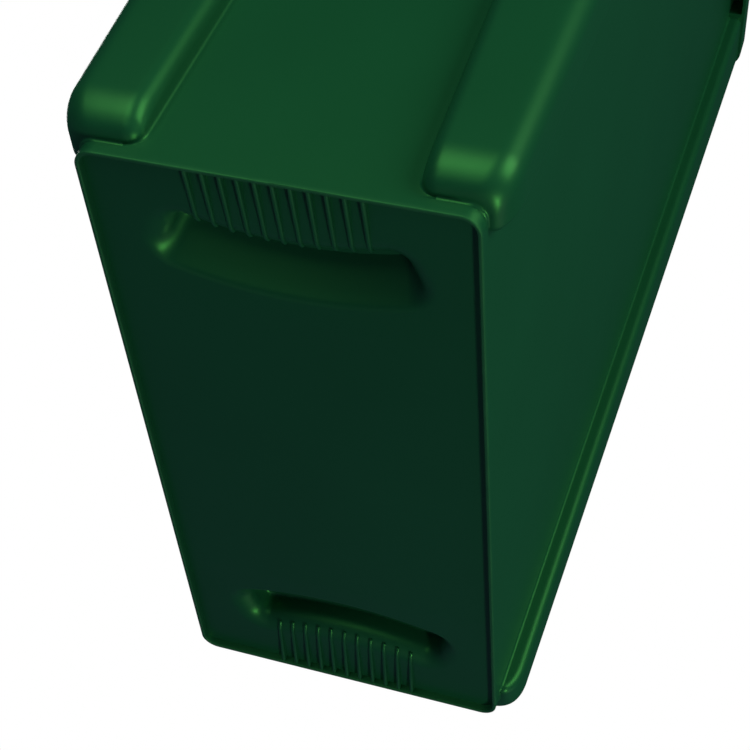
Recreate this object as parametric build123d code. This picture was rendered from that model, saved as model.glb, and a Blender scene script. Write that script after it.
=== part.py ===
from build123d import *
from math import asin, atan2, cos, hypot, pi, radians, sin, sqrt, tan
import os

# Slim recycling container, a one-piece moulding kept as the zones that its mould is made of.
# Z is up, the origin is the bottom centre, and the long axis is X, with a handle at each end.

# Overall sizes, over the rim
overall_length = 508.0
overall_width = 279.0
overall_height = 762.0

# Walls: how far they lean outwards, and the ledges from their tops to the rim's edge
wall = 3.2
end_draft = 0.69
side_draft = 1.55
end_ledge = 17.8
side_ledge = 13.9
base_corner_radius = 11.0

# Foot lip round the recessed base
lip_height = 5.0
lip_thickness = 2.4
lip_edge_radius = 0.9

# Vent channels: posts that stand out at the corners and are open grooves inside
channel_depth = 16.0
channel_side_depth = 11.8
channel_reach = 33.5
channel_side_reach = 18.5
channel_flank_lean = 1.5
channel_flank_draft = 1.0
channel_corner_radius = 14.5
channel_end_radius = 14.0
channel_ridge_radius = 6.0
seam = 4.0

# Grip pockets in the base, with a large roll round the mouth
pocket_arc_radius = 195.0
pocket_breadth = 29.0
pocket_inset = 50.0
pocket_end_inset = 39.0
pocket_depth = 21.0
pocket_corner_radius = 6.0
pocket_draft = 6.0
pocket_mouth_radius = 13.0
pocket_roof_radius = 3.0
pocket_margin = 26.0

# Grip beads from the edge of the lip to each pocket's rolled mouth
bead_count = 11
bead_row_share = 0.696
bead_radius = 1.3
bead_web = 2.2
bead_wrap = 38.0

# Rim with its skirt, and the handles under it
rim_height = 24.0
rim_corner_radius = 20.0
rim_edge_radius = 3.0
rim_foot_radius = 1.0
rim_flange = 3.6
rim_skirt = 3.2
handle_drop = 10.0
handle_end_radius = 8.0

# Bag cinches: keyhole slots in the ledges over the handles
cinch_length = 24.0
cinch_place_share = 0.57
cinch_hole_radius = 4.5
cinch_slot_width = 2.0

# How far cutting shapes run past what they cut
overrun = 30.0

# Foot, heights and slopes that follow from the sizes above
end_slope = tan(radians(end_draft))
side_slope = tan(radians(side_draft))
flank_slope = tan(radians(channel_flank_draft))
base_length = overall_length - 2 * (end_ledge + overall_height * end_slope)
base_width = overall_width - 2 * (side_ledge + overall_height * side_slope)
floor_top = lip_height + wall
rim_low = overall_height - rim_height


def half_size(height):
    """Half length and half width of the plain body at one height."""
    return base_length / 2 + height * end_slope, base_width / 2 + height * side_slope


def flank_line(height):
    """Distance of a channel's inner flank from the long centre line."""
    return base_width / 2 - channel_reach - height * flank_slope


def side_flank_line(height):
    """Distance of a channel's other flank, on the wide wall, from the short centre line."""
    return base_length / 2 - channel_side_reach - height * flank_slope


seam_x = side_flank_line(overall_height) - seam
seam_y = flank_line(overall_height) - seam
floor_x = base_length / 2 - pocket_inset - pocket_breadth - pocket_margin
pocket_centre_x = base_length / 2 - pocket_inset + pocket_arc_radius
pocket_spread = base_width - 2 * pocket_end_inset
bead_pitch = bead_row_share * pocket_spread / (bead_count - 1)


def block(x_span, y_span, z_span):
    """Box between pairs of limits."""
    size = [high - low for low, high in (x_span, y_span, z_span)]
    middle = [(high + low) / 2 for low, high in (x_span, y_span, z_span)]
    return Pos(*middle) * Box(*size)


def body(inset, low, high):
    """Drafted box of the plain walls, inset from their outer skin."""
    sections = []
    for height in (low, high):
        half_x, half_y = half_size(height)
        outline = RectangleRounded(2 * (half_x - inset), 2 * (half_y - inset), base_corner_radius - inset)
        sections.append(Pos(0, 0, height) * outline)
    return loft(sections)


def channel_section(height, inset):
    """Sharp outline of one corner post, which runs on into the inside of the container."""
    half_x, half_y = half_size(height)
    outer_x, outer_y = half_x + channel_depth - inset, half_y + channel_side_depth - inset
    flank, side_flank = flank_line(height) + inset, side_flank_line(height) + inset
    corners = [(side_flank - channel_flank_lean, flank - channel_flank_lean),
               (outer_x, flank + channel_flank_lean), (outer_x, outer_y),
               (side_flank + channel_flank_lean, outer_y)]
    return Pos(0, 0, height) * make_face(Polyline(*corners, close=True))


def channel(inset, low, high):
    """Corner post in the +X, +Y quarter, with rounded ridges and a rounded lower end."""
    post = loft([channel_section(low, inset), channel_section(high, inset)])
    ridges = post.edges().filter_by(lambda edge: edge.length > (high - low) / 2).sort_by(Axis.X)[-2:]
    post = fillet(ridges, channel_corner_radius - inset)
    lower = post.edges().group_by(Axis.Z)[0].sort_by(Axis.X)[-3:]
    post = fillet(lower, channel_end_radius - inset)
    side_face = post.faces().sort_by(Axis.X)[0]
    return fillet(side_face.edges().sort_by(Axis.Y)[-2:], channel_ridge_radius - inset)


def four_corners(shape):
    """Copies of a shape of the +X, +Y quarter in all four corners."""
    right = [shape, mirror(shape, Plane.XZ)]
    return right + [mirror(piece, Plane.YZ) for piece in right]


def tub(inset, low, high):
    """Plain body with its four corner posts."""
    whole = body(inset, low, high)
    for post in four_corners(channel(inset, low + inset, high)):
        whole += post
    return whole


def pocket_face(grow):
    """Banana outline of the right pocket, bowed towards the middle of the base."""
    near = pocket_arc_radius - grow
    far = pocket_arc_radius + pocket_breadth + grow
    half_angle = asin((pocket_spread / 2 + grow) / (near + far) * 2)
    ring = Circle(far) - Circle(near)
    reach = far + overrun
    wedge = make_face(Polyline((0, 0), (-reach * cos(half_angle), reach * sin(half_angle)),
                               (-2 * reach, 0), (-reach * cos(half_angle), -reach * sin(half_angle)),
                               close=True))
    banana = ring & wedge
    return Pos(pocket_centre_x, 0, 0) * fillet(banana.vertices(), pocket_corner_radius + grow)


def grip_floor():
    """Right end of the base panel with its moulded hand pocket."""
    plate = base_plate() & block((floor_x, base_length), (-base_width, base_width), (lip_height, floor_top))
    mouth = Pos(0, 0, lip_height) * pocket_face(0)
    hump = extrude(Pos(0, 0, lip_height) * pocket_face(wall), amount=pocket_depth + wall, taper=pocket_draft)
    hollow = extrude(mouth, amount=pocket_depth, taper=pocket_draft)
    whole = plate + hump
    whole = fillet(whole.edges().group_by(Axis.Z)[-1], pocket_roof_radius + wall)
    upper_side = [face for face in whole.faces() if face.inner_wires()][0]
    whole = fillet(upper_side.inner_wires()[0].edges(), pocket_mouth_radius - wall)
    whole -= fillet(hollow.edges().group_by(Axis.Z)[-1], pocket_roof_radius)
    underside = whole.faces().group_by(Axis.Z)[0][0]
    return fillet(underside.inner_wires()[0].edges(), pocket_mouth_radius)


def recess_outline():
    """Outline of the recess inside the foot lip."""
    half_x, half_y = half_size(0)
    return RectangleRounded(2 * (half_x - lip_thickness), 2 * (half_y - lip_thickness),
                            base_corner_radius - lip_thickness)


def base_plate():
    """Floor plate inside the foot lip, before the pockets."""
    return extrude(Pos(0, 0, lip_height) * recess_outline(), amount=wall)


def foot_ring():
    """Lip ring, as tall as the floor that it surrounds."""
    ring = body(0, 0, floor_top) - extrude(recess_outline(), amount=floor_top)
    return fillet(ring.edges().group_by(Axis.Z)[0], lip_edge_radius)


def bead(y):
    """Round bead that ramps down from the lip's edge and runs onto the pocket's rolled mouth."""
    lean = radians(pocket_draft)
    mouth_x = pocket_centre_x - sqrt(pocket_arc_radius ** 2 - y ** 2)
    roll_x = mouth_x + pocket_mouth_radius * (1 / cos(lean) - tan(lean))
    roll_z = lip_height + pocket_mouth_radius

    def on_roll(angle):
        return (roll_x - pocket_mouth_radius * sin(angle), y, roll_z - pocket_mouth_radius * cos(angle))

    start = (base_length / 2 - lip_thickness, y, lip_edge_radius + bead_radius)
    span, rise = roll_x - start[0], roll_z - start[2]
    first = pi - asin(pocket_mouth_radius / hypot(span, rise)) - atan2(rise, span)
    last = radians(bead_wrap)
    path = Wire([Line(start, on_roll(first)),
                 ThreePointArc(on_roll(first), on_roll((first + last) / 2), on_roll(last))])
    rod = sweep(Plane(start, z_dir=(-cos(first), 0, sin(first))) * Circle(bead_radius), path=path)
    root_z = lip_height + bead_radius
    corners = [start, on_roll(first), (on_roll(first)[0], y, root_z), (start[0], y, root_z)]
    web = extrude(make_face(Polyline(*corners, close=True)), amount=bead_web / 2, both=True)
    within = block((0, start[0]), (y - bead_pitch, y + bead_pitch), (0, roll_z))
    return (rod + Pos(*on_roll(last)) * Sphere(bead_radius) + web) & within


def grip_ribs(floor):
    """The row of grip beads on one end of the base, seated on the floor's surface."""
    places = [(index - (bead_count - 1) / 2) * bead_pitch for index in range(bead_count)]
    return Compound([bead(y) - floor for y in places])


def rim_block(low):
    """Outer form of the rim, from one height to the top, with a rounded top edge."""
    outline = RectangleRounded(overall_length, overall_width, rim_corner_radius)
    whole = extrude(Pos(0, 0, low) * outline, amount=overall_height - low)
    whole = fillet(whole.edges().group_by(Axis.Z)[-1], rim_edge_radius)
    return fillet(whole.edges().group_by(Axis.Z)[0], rim_foot_radius)


def under_rim(low):
    """Space inside the skirt and under the flange."""
    outline = RectangleRounded(overall_length - 2 * rim_skirt, overall_width - 2 * rim_skirt,
                               rim_corner_radius - rim_skirt)
    return extrude(Pos(0, 0, low) * outline, amount=overall_height - rim_flange - low)


def handle(outer, inner):
    """Right handle: the ledge between two channels with a deeper skirt to grip."""
    low = rim_low - handle_drop
    span = block((0, overall_length), (-seam_y, seam_y), (low, overall_height))
    span = fillet(span.edges().filter_by(Axis.X).group_by(Axis.Z)[0], handle_end_radius)
    whole = rim_block(low) & span
    whole -= under_rim(low) & block((0, overall_length), (-seam_y, seam_y), (low, rim_low))
    whole -= under_rim(rim_low) - outer
    return whole - inner


def keyhole(ledge_x, y, low):
    """Keyhole cut of a bag cinch: a round hole with a slot to the inner edge."""
    hole = Pos(ledge_x, y, low) * Cylinder(cinch_hole_radius, 2 * overrun)
    half_slot = cinch_slot_width / 2
    slot = block((ledge_x - overrun, ledge_x), (y - half_slot, y + half_slot), (low - overrun, low + overrun))
    return hole + slot


outer = tub(0, floor_top, overall_height)
inner = tub(wall, floor_top, overall_height)
whole_x = (-overall_length, overall_length)
whole_y = (-overall_width, overall_width)
shell = (outer - inner) & block(whole_x, whole_y, (0, rim_low))
parts = {}

# Foot and floor
right_floor = grip_floor()
right_ribs = grip_ribs(right_floor)
parts["foot_rim"] = foot_ring()
parts["base_panel"] = base_plate() & block((-floor_x, floor_x), whole_y, (0, floor_top))
parts["right_grip_pocket"] = right_floor
parts["left_grip_pocket"] = mirror(right_floor, Plane.YZ)
parts["right_grip_ribs"] = right_ribs
parts["left_grip_ribs"] = mirror(right_ribs, Plane.YZ)

# Plain walls between the channels
full_z = (0, overall_height)
parts["front_wall"] = shell & block((-seam_x, seam_x), (-overall_width, 0), full_z)
parts["rear_wall"] = shell & block((-seam_x, seam_x), (0, overall_width), full_z)
parts["right_end_wall"] = shell & block((seam_x, overall_length), (-seam_y, seam_y), full_z)
parts["left_end_wall"] = shell & block((-overall_length, -seam_x), (-seam_y, seam_y), full_z)

# Corner posts
rear_right = shell & block((seam_x, overall_length), (seam_y, overall_width), full_z)
names = ["rear_right", "front_right", "rear_left", "front_left"]
for name, post in zip(names, four_corners(rear_right)):
    parts[name + "_vent_channel"] = post

# Rim ring, open underneath along the wide walls
rim = rim_block(rim_low) - inner
rim -= (under_rim(rim_low) - outer) & block((-seam_x, seam_x), whole_y, full_z)
parts["front_rim"] = rim & block(whole_x, (-overall_width, -seam_y), full_z)
parts["rear_rim"] = rim & block(whole_x, (seam_y, overall_width), full_z)

# Handles with their bag cinches
right_handle = handle(outer, inner)
ledge_low = overall_height - rim_flange
ledge_out = overall_length / 2 - rim_skirt
ledge_x = (half_size(overall_height)[0] + ledge_out) / 2
cinch_y = cinch_place_share * seam_y
for side, y in (("rear", cinch_y), ("front", -cinch_y)):
    patch = block((0, ledge_out), (y - cinch_length / 2, y + cinch_length / 2), (ledge_low, overall_height))
    cinch = (right_handle & patch) - keyhole(ledge_x, y, ledge_low)
    right_handle -= patch
    parts[side + "_right_bag_cinch"] = cinch
    parts[side + "_left_bag_cinch"] = mirror(cinch, Plane.YZ)
parts["right_handle"] = right_handle
parts["left_handle"] = mirror(right_handle, Plane.YZ)

os.makedirs("parts", exist_ok=True)
for name, piece in parts.items():
    export_step(piece, "parts/" + name + ".step")
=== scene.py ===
import bmesh
import bpy
import numpy as np
from mathutils import Matrix, Vector


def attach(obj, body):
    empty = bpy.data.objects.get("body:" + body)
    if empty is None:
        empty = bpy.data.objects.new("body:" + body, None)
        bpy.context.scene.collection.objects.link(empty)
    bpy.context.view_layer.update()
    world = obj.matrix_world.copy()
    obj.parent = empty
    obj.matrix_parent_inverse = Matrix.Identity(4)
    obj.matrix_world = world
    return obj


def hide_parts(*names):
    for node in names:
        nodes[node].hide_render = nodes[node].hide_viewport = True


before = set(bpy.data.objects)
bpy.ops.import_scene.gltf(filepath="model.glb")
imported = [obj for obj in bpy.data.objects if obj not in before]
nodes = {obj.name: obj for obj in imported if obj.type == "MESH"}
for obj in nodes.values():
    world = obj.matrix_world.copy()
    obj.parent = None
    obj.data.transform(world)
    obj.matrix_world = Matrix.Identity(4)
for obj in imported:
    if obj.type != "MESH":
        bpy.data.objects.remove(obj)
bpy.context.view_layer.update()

# Camera: a long lens below the container, looking up at its base, one narrow end and one wide side.
# Its place and its three axes are those that the photograph was taken with.
def new_object(name, data):
    """Object that shows the data, linked into the scene."""
    made = bpy.data.objects.new(name, data)
    bpy.context.collection.objects.link(made)
    return made


camera_data = bpy.data.cameras.new("camera")
camera_data.lens = 79.9
camera_data.sensor_width = 36.0
camera_data.clip_start, camera_data.clip_end = 0.02, 40.0
camera_right = Vector((0.068409, -0.948743, 0.308555))
camera_down = Vector((0.656685, -0.190011, -0.729836))
camera_ahead = Vector((0.751056, 0.252551, 0.610027))
camera_place = Vector((-0.75836, -0.26519, -0.53389))
camera_turn = Matrix((camera_right, -camera_down, -camera_ahead)).transposed().to_4x4()
camera = new_object("camera", camera_data)
camera.matrix_world = Matrix.Translation(camera_place) @ camera_turn
bpy.context.scene.camera = camera
bpy.context.scene.view_settings.view_transform = "Standard"


# Body material: dark green polyethylene, coloured through, with the soft gloss that the polished
# mould leaves, faint flow shading in the colour, a slight waviness and fine handling scuffs.
class Socket:
    """One output socket of a shader node, with arithmetic that adds Math nodes."""

    def __init__(self, tree, out):
        self.tree, self.out = tree, out

    def _math(self, operation, *values):
        return self.tree.node("ShaderNodeMath", {"operation": operation}, *values)

    def __add__(self, other):
        return self._math("ADD", self, other)

    def __mul__(self, other):
        return self._math("MULTIPLY", self, other)

    __radd__, __rmul__ = __add__, __mul__


class Tree:
    """The node tree of a material or the world, with one method that adds any node."""

    def __init__(self, owner):
        self.nodes, self.links = owner.node_tree.nodes, owner.node_tree.links
        self.nodes.clear()

    def node(self, kind, settings=None, *values, output=0, **named):
        """Adds a node and gives its output: settings first, then the values or links of its sockets, by
        place or name. A place whose value is None keeps what the node comes with."""
        made = self.nodes.new(kind)
        for key, value in (settings or {}).items():
            setattr(made, key, value)
        by_name = [(key.replace("_", " "), value) for key, value in named.items()]
        for key, value in list(enumerate(values)) + by_name:
            if isinstance(value, Socket):
                self.links.new(value.out, made.inputs[key])
            elif value is not None:
                made.inputs[key].default_value = value
        return Socket(self, made.outputs[output]) if len(made.outputs) else None

    def blend(self, factor, first, second):
        """Colour between two colours: first * (1 - factor) + second * factor."""
        other_sockets = [None] * 5
        return self.node("ShaderNodeMix", {"data_type": "RGBA"}, factor, *other_sockets, first, second,
                         output=2)


def new_material(name):
    """Empty node material and its tree."""
    material = bpy.data.materials.new(name)
    material.use_nodes = True
    return material, Tree(material)


green, tree = new_material("green_polyethylene")
place = tree.node("ShaderNodeTexCoord", output="Object")
flow = tree.node("ShaderNodeTexNoise", {}, Vector=place, Scale=9.0, Detail=2.0)
waves = tree.node("ShaderNodeTexNoise", {}, Vector=place, Scale=14.0, Detail=1.0)
grain = tree.node("ShaderNodeTexNoise", {}, Vector=place, Scale=900.0, Detail=2.0)
deep_green, fresh_green = (0.0062, 0.078, 0.032, 1), (0.0075, 0.094, 0.039, 1)
colour = tree.blend(flow, deep_green, fresh_green)

# The lip's standing face is scuffed where it has been dragged: paler and duller, in patches, over the
# lowest few millimetres.
scuff_top, scuff_paling, scuff_dulling = 0.003, 0.5, 0.3
pale_green = (0.03, 0.15, 0.07, 1)
height = tree.node("ShaderNodeSeparateXYZ", {}, place, output=2)
standing = tree.node("ShaderNodeMapRange", {"clamp": True}, height, 0.0, scuff_top, 1.0, 0.0)
patches = tree.node("ShaderNodeTexNoise", {}, Vector=place, Scale=60.0, Detail=3.0)
scuff = standing * patches
worn = tree.blend(scuff * scuff_paling, colour, pale_green)

# The gloss: satin, a little uneven, on skin that waves by a fraction of a millimetre and has a fine grain.
# A green tint of the reflections keeps them as deep as the plastic's own colour.
wave_height, grain_height = 0.0006, 0.000012
satin, satin_grain = 0.37, 0.06
bump = tree.node("ShaderNodeBump", {}, Strength=0.5, Distance=1.0,
                 Height=waves * wave_height + grain * grain_height)
skin = tree.node("ShaderNodeBsdfPrincipled", {}, Base_Color=worn, Normal=bump,
                 Roughness=satin + grain * satin_grain + scuff * scuff_dulling,
                 Specular_IOR_Level=1.0, Specular_Tint=(0.18, 1.0, 0.2, 1))
tree.node("ShaderNodeOutputMaterial", {}, skin)


def finish_piece(piece, *replaced):
    """Gives a piece the green plastic, its CAD body and the nodes that it stands for."""
    piece.data.materials.clear()
    piece.data.materials.append(green)
    if replaced:
        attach(piece, "root")
        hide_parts(*replaced)


# Foot and floor: the thin lip that the container stands on, moulded with the flat floor recessed behind
# it. One green skin with the rest of the tub; only the lip's standing face is scuffed dull.
for name in ("foot_rim", "base_panel"):
    finish_piece(nodes[name])

# Grip pockets: one at each end of the base, moulded up into the floor as a banana-shaped bowl that the
# fingers reach into when the container is tipped out. The side towards the lip is a steep wall with a
# large roll at its mouth, the side towards the middle of the base a gentle ramp with a small one.
mm = 0.001
wall = 3.2
foot_plane = 5.0
pocket_depth, pocket_draft = 21.0, np.radians(5.0)
mouth_roll, roof_round = 13.0, 3.0
half_breadth, half_spread = 14.5, 65.98
bow_centre, bow_radius = 372.02, 209.5
ramp, far_roll, far_mouth = 0.9, 6.0, 23.6
end_round, least_end_round = 9.0, 3.5
plate_x, plate_y = (122.02, 224.62), 102.58
plate_corner, square_corner = 8.6, 0.01
ring_arc_steps, ring_run_steps, profile_steps = 8, 20, 12


def lines_with_arcs(corners, radii, arc_steps=10, run_steps=3):
    """Polylines, one row each, with their inner corners rounded: each corner is swapped for a circular
    arc tangent to its two runs, and each run between arcs is divided evenly. An arc's tangent length is
    radius * tan(turn / 2); where two arcs want more than their run has, both shrink by the same share."""
    tiny, usable_share = 1e-9, 0.99
    ahead = corners[:, 1:] - corners[:, :-1]
    length = np.linalg.norm(ahead, axis=2, keepdims=True)
    ahead = ahead / np.maximum(length, tiny)
    before, after = ahead[:, :-1], ahead[:, 1:]
    cross = before[..., 0] * after[..., 1] - before[..., 1] * after[..., 0]
    turn = np.arctan2(cross, (before * after).sum(2))
    reach = radii * np.tan(np.abs(turn) / 2)
    none = np.zeros((len(reach), 1))
    needed = np.concatenate([none, reach], 1) + np.concatenate([reach, none], 1)
    room = np.minimum(1, usable_share * length[..., 0] / np.maximum(needed, tiny))
    fit = np.minimum(room[:, :-1], room[:, 1:])
    reach, radii = reach * fit, radii * fit
    side = np.sign(turn)[..., None]
    start = corners[:, 1:-1] - before * reach[..., None]
    end = corners[:, 1:-1] + after * reach[..., None]
    normal = np.stack([-before[..., 1], before[..., 0]], 2) * side
    centre = start + normal * radii[..., None]
    columns = []
    last = corners[:, 0]
    for k in range(corners.shape[1] - 2):
        share = np.linspace(0, 1, run_steps, endpoint=False)[None, :, None]
        columns.append(last[:, None] * (1 - share) + start[:, k][:, None] * share)
        angle = np.linspace(0, 1, arc_steps, endpoint=False)[None, :] * turn[:, k][:, None]
        arm = (start - centre)[:, k]
        cos, sin = np.cos(angle), np.sin(angle)
        arc = np.stack([arm[:, 0:1] * cos - arm[:, 1:2] * sin, arm[:, 0:1] * sin + arm[:, 1:2] * cos], 2)
        columns.append(centre[:, k][:, None] + arc)
        last = end[:, k]
    share = np.linspace(0, 1, run_steps + 1)[None, :, None]
    columns.append(last[:, None] * (1 - share) + corners[:, -1][:, None] * share)
    return np.concatenate(columns, 1)


def far_side(rise):
    """Place of the side towards the base's middle at a rise over the plate: on the mouth's roll it is
    mouth - sqrt(roll^2 - (roll - rise)^2), and from where that has the ramp's slope it goes inward by
    ramp for each unit of rise."""
    top = np.arctan(1 / ramp)
    rolled = far_roll * (1 - np.cos(top))
    low = np.minimum(rise, rolled)
    return far_mouth - np.sqrt(far_roll ** 2 - (far_roll - low) ** 2) - ramp * (rise - low)


def pocket_profile(thickness):
    """Points (outward distance, height) down the pocket's steep skin, from the roof's edge to the flat
    plate, moved along the skin's normal (sin t, cos t) by a thickness: the roof's arc is its centre +
    (round + thickness) * normal, and the mouth's roll its centre - (roll - thickness) * normal."""
    steep = np.pi / 2 - pocket_draft
    turn = np.linspace(0, steep, profile_steps)
    normal = np.stack([np.sin(turn), np.cos(turn)], 1)
    height = pocket_depth - roof_round * (1 - np.cos(steep))
    middle = np.array([-height * np.tan(pocket_draft) - roof_round * np.sin(steep),
                       pocket_depth - roof_round])
    roof = middle + (roof_round + thickness) * normal
    centre = np.array([mouth_roll * np.tan(steep / 2), mouth_roll])
    roll = centre - (mouth_roll - thickness) * normal[::-1]
    return np.concatenate([roof, roll]) + (0, foot_plane)


def pocket_outlines(outward, far):
    """Closed banana outlines, one row each, grown outwards by a distance: a rectangle with rounded corners,
    bent round the bow's centre at angle = along / bow radius and reach = bow radius + across, so that
    x = centre - reach * cos(angle) and y = reach * sin(angle). Its side towards the base's middle lies
    at far."""
    half = bow_radius * np.arcsin((half_spread + outward) / bow_radius)
    near = -half_breadth - outward
    zero = np.zeros_like(half)
    steps = [(zero, near), (half, near), (half, far), (-half, far), (-half, near), (zero, near)]
    corners = np.stack([np.stack(step, 1) for step in steps], 1)
    radius = np.maximum(end_round + outward, least_end_round)
    flat = lines_with_arcs(corners, np.repeat(radius[:, None], 4, 1), ring_arc_steps, ring_run_steps)
    angle, reach = flat[..., 0] / bow_radius, bow_radius + flat[..., 1]
    return np.stack([bow_centre - reach * np.cos(angle), reach * np.sin(angle)], 2)


def plate_outline():
    """Edge of the floor's end plate, where it meets the foot lip and the middle panel: a rectangle whose
    two outer corners are round and whose two inner ones are nearly square."""
    low, high = plate_x
    corners = np.array([[(high, 0), (high, plate_y), (low, plate_y), (low, -plate_y), (high, -plate_y),
                         (high, 0)]], float)
    radii = np.array([[plate_corner, square_corner, square_corner, plate_corner]])
    return lines_with_arcs(corners, radii, ring_arc_steps, ring_run_steps)


def bowl_side(thickness):
    """One skin of the pocket's plate as a grid: a closed outline at each height of the profile, from the
    roof's edge down, and then the plate's own edge."""
    profile = pocket_profile(thickness)
    far = far_side(np.maximum(profile[:, 1] - foot_plane - thickness, 0))
    flat = np.concatenate([pocket_outlines(profile[:, 0], far), plate_outline()])
    height = np.append(profile[:, 1], foot_plane + thickness)
    return np.concatenate([flat, np.repeat(height[:, None, None], flat.shape[1], 1)], 2)[:, :-1]


def closed_rings(rings):
    """Vertices and faces of a shell of closed rings, still open at its first and last ring: each face
    joins two neighbours of one ring to the same two of the next."""
    rows, columns = rings.shape[:2]
    index = np.arange(rows * columns).reshape(rows, columns)
    turned = np.roll(index, -1, 1)
    faces = np.stack([index[:-1], index[1:], turned[1:], turned[:-1]], 2)
    return rings.reshape(-1, 3), faces.reshape(-1, 4)


def new_piece(name, points, faces):
    """Mesh object from arrays in millimetres: doubles merged, open ends capped, faces turned outwards,
    smooth except over sharp edges."""
    merge_distance, sharp_angle = 0.02 * mm, np.radians(35)
    mesh = bpy.data.meshes.new(name)
    mesh.from_pydata((points * mm).tolist(), [], faces.tolist())
    shell = bmesh.new()
    shell.from_mesh(mesh)
    bmesh.ops.remove_doubles(shell, verts=shell.verts, dist=merge_distance)
    caps = bmesh.ops.holes_fill(shell, edges=shell.edges)["faces"]
    bmesh.ops.triangulate(shell, faces=caps)
    bmesh.ops.recalc_face_normals(shell, faces=shell.faces)
    shell.to_mesh(mesh)
    shell.free()
    mesh.polygons.foreach_set("use_smooth", np.ones(len(mesh.polygons), bool))
    mesh.set_sharp_from_angle(angle=sharp_angle)
    return new_object(name, mesh)


# The left bowl is the right one mirrored, so the corners of its faces are taken backwards.
bowl_points, bowl_faces = closed_rings(np.concatenate([bowl_side(0.0), bowl_side(wall)[::-1]]))
for name, sx in (("right", 1), ("left", -1)):
    bowl = new_piece(name + "_grip_bowl", bowl_points * (sx, 1, 1), bowl_faces[:, ::sx])
    finish_piece(bowl, name + "_grip_pocket")

# Grip ribs: eleven fine beads at each end, moulded on the outside from the lip into the pocket's mouth,
# so that wet fingers don't slip. They keep their CAD shape.
for side in ("left", "right"):
    finish_piece(nodes[side + "_grip_ribs"])

# Walls: four drafted panels, two wide and two narrow, moulded between the corner posts. They are flat and
# carry only the plastic's own faint waviness.
for side in ("front", "rear", "left_end", "right_end"):
    finish_piece(nodes[side + "_wall"])

# Vent channels: four posts that stand out at the corners, moulded with the walls and open inside as
# grooves, so that air reaches the bottom of the bag. Each starts as a rounded nose over the foot and runs
# up to the rim.
base_half = np.array([227.02, 104.98])
lean = np.tan(np.radians([0.69, 1.55]))
seam_x, seam_y = 191.22, 54.18
rim_low = 738.0
post_depth, post_side_depth = 16.0, 11.8
post_reach, post_side_reach = 33.5, 18.5
post_draft, flank_tilt = np.tan(np.radians(1.0)), 1.0
nose_low, nose_height, nose_root = 9.6, 23.5, 1.4
flank_foot_round, side_foot_round = 9.0, 5.0
crease_radius, ridge_radius, side_ridge_radius = 2.2, 9.5, 6.0
corner_radius, corner_growth = 11.0, 2.5
root_rows, nose_rows, straight_rows, straight_gap = 5, 26, 16, 12.0


def post_rows(inset):
    """Heights of a post's rows and how far it has grown at each, 0 to 1: a small root arc out of the wall,
    a quarter ellipse, height = low + tall * (1 - cos t) and grown = share + (1 - share) * sin t, then the
    straight post up to the rim."""
    root = np.linspace(0, np.pi / 2, root_rows, endpoint=False)
    curve = np.linspace(0, np.pi / 2, nose_rows)
    low, tall = nose_low + inset, nose_height - inset
    share = nose_root / post_depth
    heights = np.concatenate([low - nose_root + nose_root * np.sin(root), low + tall * (1 - np.cos(curve)),
                              np.linspace(low + tall + straight_gap, rim_low, straight_rows)])
    grown = np.concatenate([share * (1 - np.cos(root)), share + (1 - share) * np.sin(curve),
                            np.ones(straight_rows)])
    return heights, grown


def flank_line(edge, reach, z, inset, foot_round):
    """Distance of a flank from the centre line: edge - reach - z * draft, drawn in round the foot by a
    quarter circle, foot_round * (1 - sqrt(1 - drop^2)) with drop from 1 at the nose's low end to 0."""
    drop = np.clip(1 - (z - nose_low - inset) / foot_round, 0, 1)
    return edge - reach - z * post_draft + inset + foot_round * (1 - np.sqrt(1 - drop ** 2))


def post_section(inset):
    """Rows of points round one post, from the end wall's seam to the wide wall's seam: out along one
    flank, round the outer corner, back along the other flank, with every corner rounded. Each row's wall
    stands at base half + z * lean - inset, and its outer face further out by depth * grown."""
    z, grown = post_rows(inset)
    half_x, half_y = base_half[0] + z * lean[0] - inset, base_half[1] + z * lean[1] - inset
    outer_x, outer_y = half_x + post_depth * grown, half_y + post_side_depth * grown
    flank = flank_line(base_half[1], post_reach, z, inset, flank_foot_round)
    side_flank = flank_line(base_half[0], post_side_reach, z, inset, side_foot_round)
    tilt, full = flank_tilt * grown, np.ones_like(z)
    steps = [(half_x, seam_y * full), (half_x, flank), (outer_x, flank + tilt), (outer_x, outer_y),
             (side_flank + tilt, outer_y), (side_flank, half_y), (seam_x * full, half_y)]
    corners = np.stack([np.stack(step, 1) for step in steps], 1)
    crease = (crease_radius + inset) * full
    radii = np.stack([crease, (ridge_radius - inset) * full, corner_radius + corner_growth * grown - inset,
                      (side_ridge_radius - inset) * full, crease], 1)
    flat = lines_with_arcs(corners, radii)
    return np.concatenate([flat, np.repeat(z[:, None, None], flat.shape[1], 1)], 2)


def closed_band(outer, inner):
    """Vertices and faces of a wall between two grids of the same size, closed along all four edges: the
    rows of the one and, backwards, of the other make rings, and a cap closes each end of them, the last
    one with its corners taken backwards."""
    rows, columns = outer.shape[:2]
    points = np.concatenate([outer, inner[::-1]], 0)
    ring = 2 * rows
    index = np.arange(ring * columns).reshape(ring, columns)
    turned = np.roll(index, -1, 0)
    skin = np.stack([index[:, :-1], index[:, 1:], turned[:, 1:], turned[:, :-1]], 2).reshape(-1, 4)
    caps = []
    for column, order in ((0, 1), (columns - 1, -1)):
        front, back = index[:rows, column], index[ring - 1:rows - 1:-1, column]
        caps.append(np.stack([front[:-1], front[1:], back[1:], back[:-1]], 1)[:, ::order])
    return points.reshape(-1, 3), np.concatenate([skin] + caps)


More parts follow.
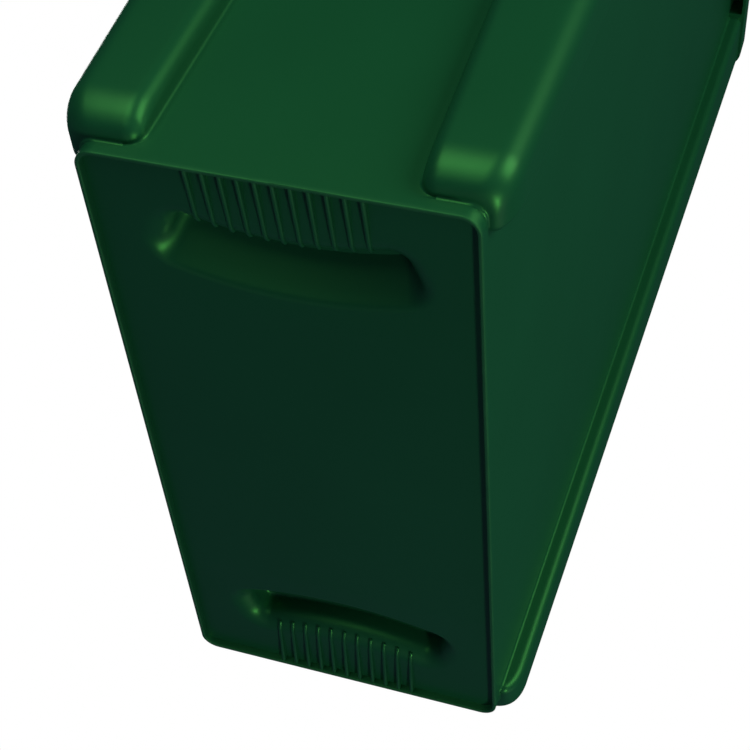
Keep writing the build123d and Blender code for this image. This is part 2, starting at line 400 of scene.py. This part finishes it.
# All four are one post mirrored; where only one direction is mirrored, the faces' corners are taken
# backwards.
post_points, post_faces = closed_band(post_section(0.0), post_section(wall))
for name, sx, sy in (("rear_right", 1, 1), ("front_right", 1, -1), ("rear_left", -1, 1),
                     ("front_left", -1, -1)):
    post = new_piece(name + "_post", post_points * (sx, sy, 1), post_faces[:, ::sx * sy])
    finish_piece(post, name + "_vent_channel")

# Rim: the thick top edge that is turned out and down as a skirt, which stiffens the open mouth and takes
# a lid. Moulded in one with the walls; its two halves here only divide it for editing.
for side in ("front", "rear"):
    finish_piece(nodes[side + "_rim"])

# Handles: the deeper skirt under the rim at each narrow end, open below, that the fingers hook into when
# the container is lifted or tipped.
for side in ("left", "right"):
    finish_piece(nodes[side + "_handle"])

# Bag cinches: keyhole slots in the ledges at the rim's four corners, where a corner of the liner is pulled
# through and held.
for end in ("front", "rear"):
    for side in ("left", "right"):
        finish_piece(nodes[end + "_" + side + "_bag_cinch"])

# Stage: a pale floor that only shows from above, so that the camera can look up past it. It catches the
# shadow near the container and fades into the white backdrop further out.
floor_reach, floor_gap = 3.0, 0.0005
floor_corners = [(sx * floor_reach, sy * floor_reach, -floor_gap)
                 for sx, sy in ((-1, -1), (1, -1), (1, 1), (-1, 1))]
floor_data = bpy.data.meshes.new("floor")
floor_data.from_pydata(floor_corners, [], [(0, 1, 2, 3)])
floor = new_object("floor", floor_data)
floor.visible_diffuse = floor.visible_glossy = floor.visible_transmission = floor.visible_shadow = False

pale, tree = new_material("pale_floor")
shadow_reach, white_reach, least_glow = 0.2, 1.6, 0.35
behind = tree.node("ShaderNodeNewGeometry", output="Backfacing")
paint = tree.node("ShaderNodeBsdfDiffuse", {}, Color=(0.8, 0.8, 0.8, 1))
glow = tree.node("ShaderNodeEmission", {}, (1, 1, 1, 1), 1.0)
clear = tree.node("ShaderNodeBsdfTransparent")
place = tree.node("ShaderNodeTexCoord", output="Object")
distance = tree.node("ShaderNodeVectorMath", {"operation": "LENGTH"}, place, output=1)
fade = tree.node("ShaderNodeMapRange", {"clamp": True, "interpolation_type": "SMOOTHSTEP"}, distance,
                 shadow_reach, white_reach, least_glow, 1.0)
top = tree.node("ShaderNodeMixShader", {}, fade, paint, glow)
tree.node("ShaderNodeOutputMaterial", {}, tree.node("ShaderNodeMixShader", {}, behind, top, clear))
floor_data.materials.append(pale)

# Room: a dark studio that only reflections and shadows see, bluish below the horizon and green above it.
# The camera itself sees plain white.
world = bpy.data.worlds.new("studio")
world.use_nodes = True
bpy.context.scene.world = world
tree = Tree(world)
seen = tree.node("ShaderNodeLightPath", output="Is Camera Ray")
towards = tree.node("ShaderNodeTexCoord", output="Generated")
upward = tree.node("ShaderNodeSeparateXYZ", {}, towards, output=2)
blue_until, green_from = -0.3, 0.1
blue_dusk, green_dusk = (0.035, 0.030, 0.080, 1), (0.014, 0.045, 0.042, 1)
sky = tree.node("ShaderNodeMapRange", {"clamp": True}, upward, blue_until, green_from, 0.0, 1.0)
dusk = tree.blend(sky, blue_dusk, green_dusk)
room = tree.node("ShaderNodeBackground", {}, dusk, 1.0)
white = tree.node("ShaderNodeBackground", {}, (1, 1, 1, 1), 1.0)
tree.node("ShaderNodeOutputWorld", {}, tree.node("ShaderNodeMixShader", {}, seen, room, white))

# Lamps: soft square panels round the lower half of the container, all at one distance and aimed at it.
# Each row gives the direction from the container, the size in metres, the power in watts and the colour.
lamp_distance = 2.0
lamp_target = Vector((0, 0, 0.25))
for name, direction, size, power, colour in (
        ("key", (-0.63, -0.76, 0.15), 1.2, 17, (1, 1, 0.85)),
        ("side", (-0.95, 0.20, -0.03), 1.0, 8, (1, 1, 0.85)),
        ("under_side", (-0.90, 0.15, -0.36), 1.0, 3, (1, 1, 0.85)),
        ("under_front", (0.45, -0.80, -0.42), 1.0, 1.2, (1, 0.7, 1.0)),
        ("below", (0.0, 0.05, -1.0), 1.0, 0.6, (1, 0.55, 1.0)),
        ("glint", (0.06, -0.64, -0.77), 0.25, 8, (1, 1, 0.8)),
        ("above", (0.6, 0.5, 0.9), 1.5, 45, (1, 1, 1))):
    panel = bpy.data.lights.new(name, "AREA")
    panel.size, panel.energy, panel.color = size, power, colour
    away = Vector(direction).normalized()
    lamp = new_object(name, panel)
    lamp.location = lamp_target + away * lamp_distance
    lamp.rotation_euler = (-away).to_track_quat("-Z", "Y").to_euler()
